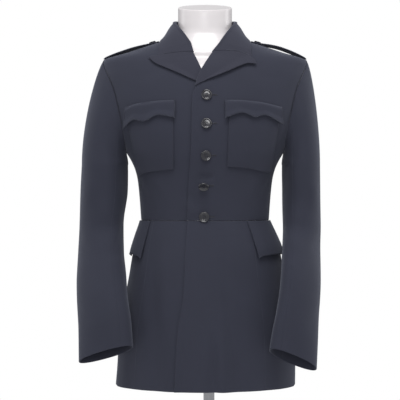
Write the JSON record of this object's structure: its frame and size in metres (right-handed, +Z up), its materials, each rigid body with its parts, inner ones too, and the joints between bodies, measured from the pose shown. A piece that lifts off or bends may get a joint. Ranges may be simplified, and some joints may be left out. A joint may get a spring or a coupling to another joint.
{
  "type": "uniform blazer on a dress form",
  "caption": "Single-breasted uniform blazer with flapped chest pockets, shoulder straps and a seamed waist, dressed on a limbless form with a short pole and a round base.",
  "frame": {"origin": "centre of the round base's flat underside", "axes": "+Z up, -Y the way the jacket faces, +X the wearer's left"},
  "size_m": [0.5203, 0.3303, 1.1235],
  "materials": {
    "wool_cloth": "matte navy-grey worsted twill",
    "button_plastic": "polished dark plastic",
    "form_shell": "smooth semi-gloss white",
    "stand_metal": "polished tube and plate"
  },
  "bodies": {
    "root": {"front_left_bodice": "wool_cloth", "back_left_bodice": "wool_cloth", "front_left_skirt": "wool_cloth", "side_left_skirt": "wool_cloth", "back_left_skirt": "wool_cloth", "upper_sleeve_left": "wool_cloth", "under_sleeve_left": "wool_cloth", "lapel_left": "wool_cloth", "chest_pocket_left": "wool_cloth", "chest_flap_left": "wool_cloth", "hip_flap_left": "wool_cloth", "epaulette_left": "wool_cloth", "front_right_bodice": "wool_cloth", "back_right_bodice": "wool_cloth", "front_right_skirt": "wool_cloth", "side_right_skirt": "wool_cloth", "back_right_skirt": "wool_cloth", "upper_sleeve_right": "wool_cloth", "under_sleeve_right": "wool_cloth", "lapel_right": "wool_cloth", "chest_pocket_right": "wool_cloth", "chest_flap_right": "wool_cloth", "hip_flap_right": "wool_cloth", "epaulette_right": "wool_cloth", "collar": "wool_cloth", "epaulette_button_left": "button_plastic", "epaulette_button_right": "button_plastic", "front_button_1": "button_plastic", "front_button_2": "button_plastic", "front_button_3": "button_plastic", "front_button_4": "button_plastic", "front_button_5": "button_plastic", "form_torso": "form_shell", "form_pole": "stand_metal", "form_base": "stand_metal"}
  },
  "joints": []
}
